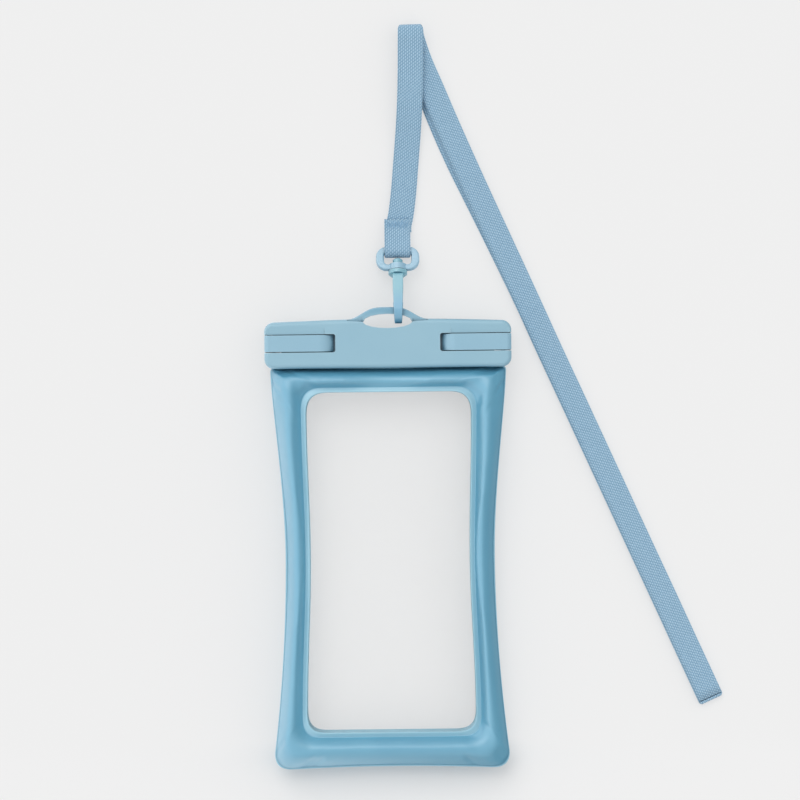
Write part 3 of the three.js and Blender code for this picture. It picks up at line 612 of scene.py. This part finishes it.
def outerPath():  # start and segments, each its control points; from the right waist, counter-clockwise
    s, w, f, r, g = air["shoulder"], air["waist"], air["foot"], air["shoulderRound"], air["footRound"]
    y, t, b = air["waistY"], air["top"], air["bottom"]
    return (w, y), [
        [(w, y + 0.03), (s - 0.0006, t - r - 0.017), (s, t - r)],
        [(s, t), (s - r, t)],
        [(r - s, t)],
        [(-s, t), (-s, t - r)],
        [(0.0006 - s, t - r - 0.017), (-w, y + 0.03), (-w, y)],
        [(-w, y - 0.034), (0.0027 - f, b + g + 0.021), (-f, b + g)],
        [(-f, b), (g - f, b)],
        [(0, b + 2 * air["hollow"]), (f - g, b)],
        [(f, b), (f, b + g)],
        [(f - 0.0027, b + g + 0.021), (w, y - 0.034), (w, y)],
    ]


def windowPath(grow=0.0):
    w, t, b = window["halfWaist"] + grow, window["halfTop"] + grow, window["halfBottom"] + grow
    high, low, y = window["top"] + grow, window["bottom"] - grow, air["waistY"]
    rt, rb, pull = window["roundTop"], window["roundBottom"], 0.024
    return (w, y), [
        [(w, y + pull), (t, high - rt - pull), (t, high - rt)],
        [(t, high), (t - rt, high)],
        [(rt - t, high)],
        [(-t, high), (-t, high - rt)],
        [(-t, high - rt - pull), (-w, y + pull), (-w, y)],
        [(-w, y - pull), (-b, low + rb + pull), (-b, low + rb)],
        [(-b, low), (rb - b, low)],
        [(b - rb, low)],
        [(b, low), (b, low + rb)],
        [(b, low + rb + pull), (w, y - pull), (w, y)],
    ]


def pathPoints(path, counts=None):  # points along a path and how many fell on each segment
    start, segments = path
    at, points, used = Vector((*start, 0)), [], []
    for i, controls in enumerate(segments):
        c = [Vector((*control, 0)) for control in controls]
        end = c[-1]
        if len(c) == 1:
            pulls = at.lerp(end, 1 / 3), at.lerp(end, 2 / 3)
        elif len(c) == 2:
            pulls = at.lerp(c[0], 2 / 3), end.lerp(c[0], 2 / 3)
        else:
            pulls = c[0], c[1]
        rough = interpolate_bezier(at, *pulls, end, 24)
        length = sum((rough[j + 1] - rough[j]).length for j in range(23))
        count = counts[i] if counts else max(6, round(length / air["spacing"]))
        points += interpolate_bezier(at, *pulls, end, count + 1)[:-1]
        used.append(count)
        at = end
    return points, used


def step(share):
    return share * share * (3 - 2 * share)


def pinchAt(edge):  # how much the film is gathered at a place on the weld
    return min(sum(math.exp(-(((edge.x - x) ** 2 + (edge.y - y) ** 2) / w ** 2)) for x, y, w in air["pinches"]), 1)


def frameSection(edge, foot, pane, mouth):  # one station's points from the weld over the tube to the lip
    inward = foot - edge
    width = inward.length
    inward.normalize()
    tube = width - air["flange"]
    sideTube = air["waist"] - window["halfWaist"] - air["flange"] - air["lipWidth"]
    footTube = window["bottom"] - air["bottom"] - air["hollow"] - air["flange"] - air["lipWidth"]
    share = min(max((tube - sideTube) / (footTube - sideTube), 0), 1)
    crest = air["sideCrest"] + (air["footCrest"] - air["sideCrest"]) * share - mouth * air["mouthFall"]
    wall = width + (air["flange"] + 2 * air["half"] - width) * mouth
    low, top = air["half"], air["half"] + air["film"]
    lip = air["lipLow"] + air["lipThickness"]
    points = [(0, low), (0, top), (air["flange"] * 0.5, top), (air["flange"], top)]
    summit = air["crestShare"] + (air["mouthCrestShare"] - air["crestShare"]) * mouth
    pinch = pinchAt(edge) * air["pinchDepth"]
    for t in (0.03, 0.09, 0.18, 0.3, 0.44, 0.6, 0.78, 1):
        u = air["flange"] + tube * summit * t + pinch * math.sin(math.pi * min(t * 1.3 + 0.12, 1))
        points.append((u, top + (crest - top) * math.sin(t * math.pi / 2) ** (0.8 + 0.15 * mouth)))
    for t in (0.2, 0.38, 0.55, 0.7, 0.82, 0.91, 0.97):
        u = air["flange"] + tube * (summit + (1 - summit) * t)
        points.append((u, lip + (crest - lip) * (1 - t * t) ** (0.56 + max(0.6 * share, 0.8 * mouth))))
    made = [edge + inward * u + Vector((0, 0, z)) for u, z in points]
    made.append(edge + inward * width + Vector((0, 0, lip - 0.0001)))
    for t, rise in ((0.25, 0.15), (0.5, 0.55), (0.75, 0.92), (0.93, 1)):
        made.append(foot.lerp(pane, t) + Vector((0, 0, lip + air["lipRise"] * rise)))
    made.append(pane + Vector((0, 0, lip + air["lipRise"] * 0.7)))
    made.append(pane + Vector((0, 0, air["lipLow"])))
    made.append(edge + inward * width + Vector((0, 0, air["lipLow"])))
    made.append(edge + inward * wall + Vector((0, 0, low)))
    return made


tubeRows = range(4, 19)  # rows of the section that are free film


def frameMesh(name):
    edges, counts = pathPoints(outerPath())
    feet = pathPoints(windowPath(air["lipWidth"]), counts)[0]
    panes = pathPoints(windowPath(), counts)[0]
    mouth = []
    for i, count in enumerate(counts):
        for j in range(count):
            mouth.append({1: step(j / count), 2: 1.0, 3: 1 - step(j / count)}.get(i, 0.0))
    sections = [frameSection(*four) for four in zip(edges, feet, panes, mouth)]
    bm = bmesh.new()
    station = bm.verts.layers.int.new("station")
    row = bm.verts.layers.int.new("row")
    ring = bmesh.ops.create_circle(bm, segments=len(sections), radius=1)["verts"]
    for i, vert in enumerate(ring):
        vert[station], vert.co = i, sections[i][0]
    firstEdges = loop = list(bm.edges)
    for j in range(1, len(sections[0])):
        made = bmesh.ops.extrude_edge_only(bm, edges=loop)["geom"]
        verts = {g for g in made if isinstance(g, bmesh.types.BMVert)}
        loop = [g for g in made if isinstance(g, bmesh.types.BMEdge) and verts.issuperset(g.verts)]
        for vert in verts:
            vert[row], vert.co = j, sections[vert[station]][j]
    bmesh.ops.bridge_loops(bm, edges=firstEdges + loop)
    bmesh.ops.recalc_face_normals(bm, faces=bm.faces)
    weld = bm.verts.layers.float.new("weld")
    creaseShade = bm.verts.layers.float.new("creaseShade")
    for vert in bm.verts:
        vert[weld] = 1.0 if vert[row] < 3 or vert[row] > 19 else 0.4 if vert[row] in (3, 19) else 0.0
        # painted shade along rows 3 and 4, where the tube meets the flange
        vert[creaseShade] = {3: 1.0, 4: 0.6}.get(vert[row], 0.0)
    return meshFrom(name, bm)


def inflate(piece):  # the free film grows a little and is blown up, so it puckers beside the welds
    rows = piece.data.attributes["row"].data
    held = [i for i, r in enumerate(rows) if r.value not in tubeRows]
    group = piece.vertex_groups.new(name="held")
    group.add(held, 1.0, "REPLACE")
    rest = [vert.co.copy() for vert in piece.data.vertices]
    cloth = piece.modifiers.new("inflate", "CLOTH")
    settings = cloth.settings
    settings.quality = 8
    settings.mass = 0.02
    settings.tension_stiffness = settings.compression_stiffness = 25
    settings.shear_stiffness = 10
    settings.bending_stiffness = 0.02
    settings.shrink_min = -air["growth"]
    settings.use_pressure = True
    settings.uniform_pressure_force = air["pressure"]
    settings.vertex_group_mass = "held"
    settings.effector_weights.gravity = 0
    cloth.collision_settings.use_collision = False
    cloth.point_cache.frame_start, cloth.point_cache.frame_end = 1, air["frames"]
    for number in range(1, air["frames"] + 1):
        scene.frame_set(number)
    result = piece.evaluated_get(bpy.context.evaluated_depsgraph_get()).data
    moved = [result.vertices[i].co - place for i, place in enumerate(rest)]
    print("film moved up to", round(max(move.length for move in moved) * 1000, 2), "mm")
    piece.modifiers.remove(cloth)
    scene.frame_set(1)
    for vert, place, move in zip(piece.data.vertices, rest, moved):
        near = min((place.x - x) ** 2 + (place.y - y) ** 2 for x, y in air["corners"])
        move *= air["calm"] + (1 - air["calm"]) * math.exp(-near / air["cornerReach"] ** 2)
        if move.length > air["cap"]:
            move = move.normalized() * air["cap"]
        vert.co = place + move


film = {
    "name": "weldedTpuFilm",  # calendered TPU film, high-frequency welded: satin, pressed paler along the welds
    "base": "#5b9fbb",
    "shade": "#579bb8",
    "weld": "#8bbdd0",
    # painted shade: a dark line where the tube rises from the weld flange
    "creaseShade": "#3f84a2",
    "peel": 0.0013,
    "ripple": 0.006,
}


def tpuFilm(settings):
    material, tree, out = newMaterial(settings["name"])
    where = addNode(tree, "ShaderNodeTexCoord")
    cloud = addNode(tree, "ShaderNodeTexNoise", {"Vector": where.outputs["Object"], "Scale": 38.0, "Detail": 3.0})
    colour = addNode(
        tree, "ShaderNodeValToRGB", {0: cloud.outputs[0]}, stops=[(0.35, settings["base"]), (0.65, settings["shade"])]
    )
    weld = addNode(tree, "ShaderNodeAttribute", attribute_name="weld")
    pressed = addNode(
        tree, "ShaderNodeMix", {0: weld.outputs["Fac"], 6: colour.outputs[0], 7: linear(settings["weld"])},
        data_type="RGBA",
    )
    # painted shade in the crevice between tube and flange
    creaseShade = addNode(tree, "ShaderNodeAttribute", attribute_name="creaseShade")
    creaseShaded = addNode(
        tree, "ShaderNodeMix", {0: creaseShade.outputs["Fac"], 6: pressed.outputs[2], 7: linear(settings["creaseShade"])},
        data_type="RGBA",
    )
    peel = addNode(
        tree, "ShaderNodeTexNoise",
        {"Vector": where.outputs["Object"], "Scale": 1 / settings["peel"], "Detail": 2.0},
    )
    ripple = addNode(
        tree, "ShaderNodeTexNoise",
        {"Vector": where.outputs["Object"], "Scale": 1 / settings["ripple"], "Detail": 1.0},
    )
    wide = addNode(tree, "ShaderNodeBump", {"Strength": 0.35, "Distance": 0.0004, "Height": ripple.outputs[0]})
    fine = addNode(
        tree, "ShaderNodeBump",
        {"Strength": 0.25, "Distance": 0.00003, "Height": peel.outputs[0], "Normal": wide.outputs[0]},
    )
    rough = addNode(tree, "ShaderNodeMapRange", {"Value": cloud.outputs[0], "To Min": 0.36, "To Max": 0.46})
    shader = addNode(
        tree, "ShaderNodeBsdfPrincipled",
        {
            "Base Color": creaseShaded.outputs[2], "Roughness": rough.outputs[0], "IOR": 1.56,
            "Specular IOR Level": 0.95, "Normal": fine.outputs[0],
        },
    )
    tree.links.new(shader.outputs[0], out.inputs[0])
    return material


blueFilm = tpuFilm(film)


def makeFrames():
    mesh = frameMesh("frameFront")
    front = newPiece("frameFront", mesh, blueFilm)
    inflate(front)
    back = newPiece("frameBack", mesh.copy(), blueFilm)
    front.data.transform(Matrix.Translation((0, 0, air["middle"])))
    back.data.transform(Matrix.Translation((0, 0, air["middle"])) @ Matrix.Scale(-1, 4, (0, 0, 1)))
    back.data.flip_normals()
    for piece, node in ((front, "air_frame_front"), (back, "air_frame_back")):
        piece.vertex_groups.clear()
        smooth = piece.modifiers.new("roundFilm", "SUBSURF")
        smooth.levels = smooth.render_levels = 1
        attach(piece, "root")
        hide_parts(node)


makeFrames()
print("frame inflated")

# Mouth flaps: the frame's two films run up into the clamp

flaps = {
    "strips": [(0.0442, 0.0720, 0.0888), (0.0494, 0.0716, 0.0731)],  # half width, from and to along Y
    "film": 0.00045,
    "gap": 0.0003,
}


def makeFlaps():
    bm = bmesh.new()
    for half, start, end in flaps["strips"]:
        for side in (1, -1):
            made = bmesh.ops.create_cube(bm, size=1)["verts"]
            size = Vector((2 * half, end - start, flaps["film"]))
            place = Vector((0, (end + start) / 2, air["middle"] + side * (flaps["gap"] + flaps["film"]) / 2))
            matrix = Matrix.Translation(place) @ Matrix.Diagonal((*size, 1))
            bmesh.ops.transform(bm, matrix=matrix, verts=made)
    long = [e for e in bm.edges if abs(e.verts[0].co.x - e.verts[1].co.x) > 0.01]
    bmesh.ops.subdivide_edges(bm, edges=long, cuts=40)
    piece = newPiece("mouthFlaps", meshFrom("mouthFlaps", bm, smooth=False), blueFilm)
    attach(piece, "root")


makeFlaps()

# Clear windows: slack clear film that stays nearly flat

clear = {
    "name": "clearTpuFilm",  # cast clear TPU film: glossy, faintly grey-blue, soft waves that bend what it mirrors
    "tint": "#e3e9eb",
    "alpha": (0.022, 0.6),  # seen straight on, and at a low angle where the film turns to gloss
    "roughness": 0.12,
}


def clearFilm(settings):
    material, tree, out = newMaterial(settings["name"])
    where = addNode(tree, "ShaderNodeTexCoord")
    haze = addNode(tree, "ShaderNodeTexNoise", {"Vector": where.outputs["Object"], "Scale": 60.0, "Detail": 4.0})
    rough = addNode(
        tree, "ShaderNodeMapRange",
        {"Value": haze.outputs[0], "To Min": settings["roughness"], "To Max": settings["roughness"] + 0.1},
    )
    bump = addNode(tree, "ShaderNodeBump", {"Strength": 0.3, "Distance": 0.0002, "Height": haze.outputs[0]})
    path = addNode(tree, "ShaderNodeLightPath")  # the light falls through at any angle
    fresnel = addNode(tree, "ShaderNodeFresnel", {"IOR": 1.49})
    glance = addNode(
        tree, "ShaderNodeMath", {0: fresnel.outputs[0], 1: path.outputs["Is Camera Ray"]}, operation="MULTIPLY"
    )
    straight, low = settings["alpha"]
    alpha = addNode(
        tree, "ShaderNodeMapRange",
        {"Value": glance.outputs[0], "From Min": 0.05, "From Max": 0.5, "To Min": straight, "To Max": low},
    )
    shader = addNode(
        tree, "ShaderNodeBsdfPrincipled",
        {
            "Base Color": linear(settings["tint"]), "Roughness": rough.outputs[0], "IOR": 1.49,
            "Specular IOR Level": 0.8, "Alpha": alpha.outputs[0], "Normal": bump.outputs[0],
        },
    )
    tree.links.new(shader.outputs[0], out.inputs[0])
    return material


filmClear = clearFilm(clear)


def makeWindows():
    rim = pathPoints(windowPath(air["lipWidth"] - 0.0003))[0]
    inner = window["halfWaist"]
    spine = [Vector((0, min(max(p.y, window["bottom"] + inner), window["top"] - inner), 0)) for p in rim]
    for side, name, node in ((1, "windowFront", "window_front"), (-1, "windowBack", "window_back")):
        bm = bmesh.new()
        station = bm.verts.layers.int.new("station")
        ring = bmesh.ops.create_circle(bm, segments=len(rim), radius=1)["verts"]
        for i, vert in enumerate(ring):
            vert[station], vert.co = i, rim[i]
        loop, shares = list(bm.edges), [0.04, 0.1, 0.18, 0.27, 0.37, 0.48, 0.6, 0.73, 0.86, 1]
        for share in shares:
            made = bmesh.ops.extrude_edge_only(bm, edges=loop)["geom"]
            verts = {g for g in made if isinstance(g, bmesh.types.BMVert)}
            loop = [g for g in made if isinstance(g, bmesh.types.BMEdge) and verts.issuperset(g.verts)]
            for vert in verts:
                i = vert[station]
                place = rim[i].lerp(spine[i], share)
                slack = min(share / 0.3, 1) * window["wave"]
                vert.co = place + Vector((0, 0, slack * noise.noise(Vector((place.x * 42, place.y * 26, side)))))
        bmesh.ops.remove_doubles(bm, verts=bm.verts, dist=1e-5)
        bmesh.ops.recalc_face_normals(bm, faces=bm.faces)
        if sum(face.normal.z for face in bm.faces) * side < 0:
            bmesh.ops.reverse_faces(bm, faces=bm.faces)
        level = air["middle"] + side * (window["depth"] + window["film"] / 2)
        bmesh.ops.translate(bm, verts=bm.verts, vec=(0, 0, level))
        piece = newPiece(name, meshFrom(name, bm), filmClear)
        wall = piece.modifiers.new("filmThickness", "SOLIDIFY")
        wall.thickness, wall.offset = window["film"], 0
        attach(piece, "root")
        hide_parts(node)


makeWindows()
print("windows made")

# Sewn end of the strap round the ring's bar, with its bar tack

sewnEnd = {
    "width": 0.0112,
    "x": 0.00465,
    "barY": 0.12414,
    "barHeight": 0.0034,
    "turn": 0.0027,  # radius of the ply's middle round the bar
    "under": [(0.1311, 0.0007), (0.1285, 0.0007)],
    "over": [(0.1285, 0.0045), (0.1325, 0.0036), (0.1376, 0.00345)],
    "tackLow": 0.1336,  # the bar tack's rows of zigzag, across the end of the upper ply
    "tackHigh": 0.1368,
    "tackHalf": 0.0048,
    "strokes": 14,
    "thread": 0.00022,  # radius
}


def makeSewnEnd():
    s = sewnEnd
    places = s["under"] + [(s["barY"], s["barHeight"] - s["turn"])]
    faces = [(0, -1)] * 3
    for i in range(1, 9):
        angle = -math.pi / 2 - math.pi * 1.12 * i / 8
        faces.append((math.cos(angle), math.sin(angle)))
        places.append((s["barY"] + s["turn"] * faces[-1][0], s["barHeight"] + s["turn"] * faces[-1][1]))
    places += s["over"]
    faces += [(0.32, 0.95), (0.1, 1), (0, 1)]
    stations = [
        (Vector((s["x"], y, z)), Vector((0, fy, fz)).normalized(), 1) for (y, z), (fy, fz) in zip(places, faces)
    ]
    line = smoothLine(stations, 4)
    mesh = sweptBand("sewnEnd", line, bandSection(s["width"], strap["thickness"]))
    piece = newPiece("sewnEnd", mesh, webbing)
    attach(piece, "swivel")
    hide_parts("strap_loop")


threadLook = {"name": "twistedPolyesterThread", "base": "#8fb4cf", "shade": "#7ea6c3", "twist": 0.0004}


def twistedThread(settings):  # sewing thread: twisted filaments, drawn as a soft diagonal streak of painted light and shade along the twist
    material, tree, out = newMaterial(settings["name"])
    where = addNode(tree, "ShaderNodeTexCoord")
    bands = addNode(
        tree, "ShaderNodeTexWave", {"Vector": where.outputs["Object"], "Scale": 1 / settings["twist"] / 6.3},
        wave_type="BANDS", bands_direction="DIAGONAL",
    )
    colour = addNode(
        tree, "ShaderNodeValToRGB", {0: bands.outputs["Fac"]}, stops=[(0.3, settings["shade"]), (0.7, settings["base"])]
    )
    shader = addNode(tree, "ShaderNodeBsdfPrincipled", {"Base Color": colour.outputs[0], "Roughness": 0.6})
    tree.links.new(shader.outputs[0], out.inputs[0])
    return material


def makeBarTack():
    s = sewnEnd
    bm = bmesh.new()
    pitch = 2 * s["tackHalf"] / s["strokes"]
    height = s["over"][-1][1] + strap["thickness"] / 2 + 0.00005
    for i in range(s["strokes"]):
        ends = [s["tackLow"], s["tackHigh"]][:: 1 if i % 2 else -1]
        a = Vector((s["x"] - s["tackHalf"] + i * pitch, ends[0], height))
        b = Vector((a.x + pitch, ends[1], height))
        made = bmesh.ops.create_uvsphere(bm, u_segments=8, v_segments=8, radius=1)["verts"]
        turn = (b - a).to_track_quat("Z", "Y").to_matrix().to_4x4()
        size = Matrix.Diagonal((s["thread"], s["thread"], (b - a).length / 2 + s["thread"], 1))
        bmesh.ops.transform(bm, matrix=Matrix.Translation((a + b) / 2) @ turn @ size, verts=made)
    piece = newPiece("barTack", meshFrom("barTack", bm), twistedThread(threadLook))
    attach(piece, "swivel")


makeSewnEnd()
makeBarTack()
print("sewn end made")

# CAD nodes that stay: the seals and the hinge pins


def plainFinish(name, base, metallic, roughness, grain):
    material, tree, out = newMaterial(name)
    where = addNode(tree, "ShaderNodeTexCoord")
    stretch = addNode(tree, "ShaderNodeMapping", {"Vector": where.outputs["Object"], "Scale": grain})
    streak = addNode(tree, "ShaderNodeTexNoise", {"Vector": stretch.outputs[0], "Scale": 1.0, "Detail": 3.0})
    rough = addNode(
        tree, "ShaderNodeMapRange", {"Value": streak.outputs[0], "To Min": roughness - 0.06, "To Max": roughness + 0.06}
    )
    bump = addNode(tree, "ShaderNodeBump", {"Strength": 0.3, "Distance": 0.00002, "Height": streak.outputs[0]})
    shader = addNode(
        tree, "ShaderNodeBsdfPrincipled",
        {
            "Base Color": linear(base), "Metallic": metallic, "Roughness": rough.outputs[0],
            "Normal": bump.outputs[0],
        },
    )
    tree.links.new(shader.outputs[0], out.inputs[0])
    return material


silicone = plainFinish("castSilicone", "#d3d9db", 0.0, 0.6, (900, 900, 900))  # cast silicone: matt, faintly dusty
steel = plainFinish("drawnSteelPin", "#b9bdc0", 1.0, 0.3, (2500, 60, 2500))  # drawn steel: long streaks
for nodeName, material in (
    ("seal_front", silicone), ("seal_back", silicone), ("latch_pin_left", steel), ("latch_pin_right", steel),
):
    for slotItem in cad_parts[nodeName].material_slots:
        slotItem.material = material
